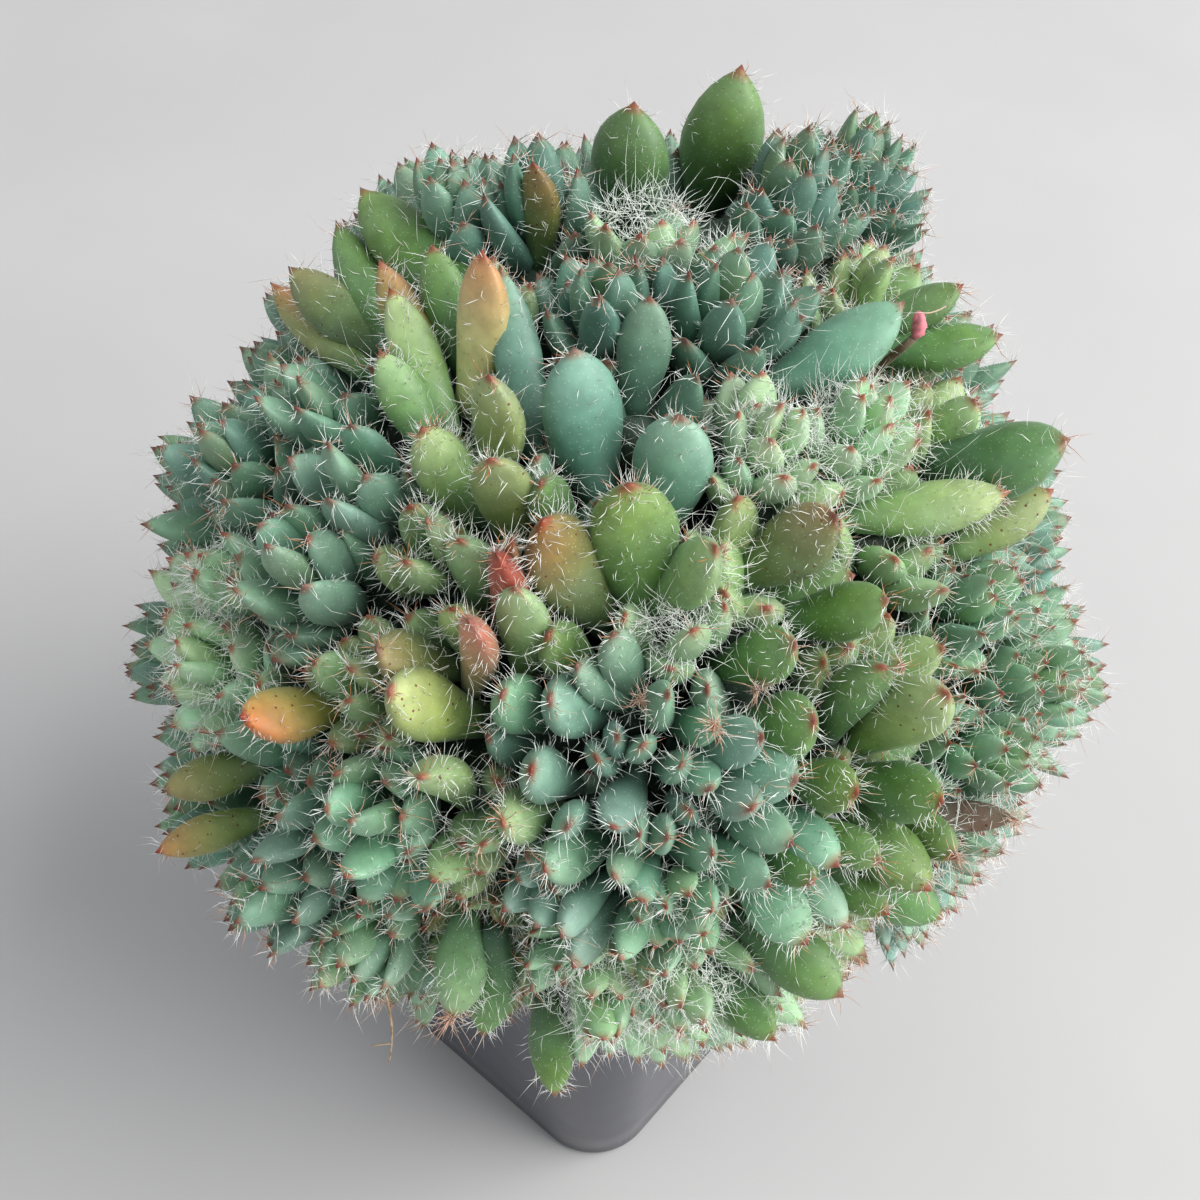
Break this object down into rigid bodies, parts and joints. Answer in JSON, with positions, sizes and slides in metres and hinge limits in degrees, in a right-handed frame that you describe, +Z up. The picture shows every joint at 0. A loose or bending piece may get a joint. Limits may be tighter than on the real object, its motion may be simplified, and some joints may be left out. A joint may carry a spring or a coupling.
{
  "type": "potted rundelli echeveria",
  "caption": "Dense mound of small hairy echeveria rosettes with thick club-shaped leaves, growing over a square tapered nursery pot.",
  "frame": {"origin": "centre of the pot's flat bottom, on the surface that it stands on", "axes": "+Z up; X and Y along the sides of the square pot; the picture looks down 50 degrees along (-sin 41, cos 41)"},
  "size_m": [0.1198, 0.128, 0.1591],
  "materials": {
    "pot_plastic": "moulded dark grey plastic, satin",
    "potting_mix": "loose dark bark and grit, matt",
    "stem_bark": "rough grey-brown bark, matt",
    "leaf_blue_green": "fleshy blue-green leaf with a matt bloom",
    "leaf_hairy": "fleshy pale green leaf under stiff white hairs",
    "leaf_green": "fleshy green to yellow leaf with a red-brown tip"
  },
  "bodies": {
    "root": {"pot": "pot_plastic", "potting_mix": "potting_mix", "stems": "stem_bark", "rosette_top_mid": "leaf_hairy", "rosette_top_mid_low": "leaf_blue_green", "rosette_top_right": "leaf_blue_green", "rosette_top_far_right": "leaf_hairy", "rosette_upper_right": "leaf_blue_green", "rosette_shoulder_right": "leaf_green", "rosette_crown_right": "leaf_hairy", "rosette_side_right": "leaf_green", "rosette_centre_top": "leaf_blue_green", "rosette_centre_young": "leaf_hairy", "rosette_top_left": "leaf_blue_green", "rosette_top_far_left": "leaf_blue_green", "rosette_ridge_top": "leaf_green", "rosette_back_left": "leaf_blue_green", "rosette_ridge_upper": "leaf_green", "rosette_left_upper": "leaf_blue_green", "rosette_left_far": "leaf_blue_green", "rosette_left_mid": "leaf_blue_green", "rosette_left_hairy": "leaf_hairy", "rosette_club_left": "leaf_green", "rosette_centre": "leaf_green", "rosette_right_brown": "leaf_green", "rosette_right_pale": "leaf_green", "rosette_centre_hairy": "leaf_hairy", "rosette_ridge_low": "leaf_green", "rosette_low_left_inner": "leaf_green", "rosette_smooth_mid": "leaf_blue_green", "rosette_small_mid": "leaf_hairy", "rosette_right_inner": "leaf_blue_green", "rosette_right_green": "leaf_green", "rosette_right_upper": "leaf_hairy", "rosette_right_edge": "leaf_hairy", "rosette_right_edge_low": "leaf_hairy", "rosette_low_left": "leaf_blue_green", "rosette_low_left_mid": "leaf_hairy", "rosette_low_left_edge": "leaf_blue_green", "rosette_low_club": "leaf_green", "rosette_small_low": "leaf_hairy", "rosette_right_low": "leaf_blue_green", "rosette_right_low_green": "leaf_green", "rosette_low_small_hairy": "leaf_hairy", "rosette_low_right_green": "leaf_green", "rosette_low_front_left": "leaf_hairy", "rosette_low_front": "leaf_green", "rosette_bottom": "leaf_hairy", "rosette_far_right": "leaf_blue_green", "rosette_rear_right": "leaf_blue_green", "rosette_rear_mid_right": "leaf_blue_green", "rosette_rear_upper": "leaf_blue_green", "rosette_rear_mid": "leaf_blue_green", "rosette_rear_left": "leaf_blue_green", "rosette_rear_left_low": "leaf_blue_green", "rosette_rear_far_left": "leaf_blue_green", "rosette_far_left_upper": "leaf_blue_green", "rosette_far_left": "leaf_blue_green", "rosette_far_left_low": "leaf_blue_green"}
  },
  "joints": []
}
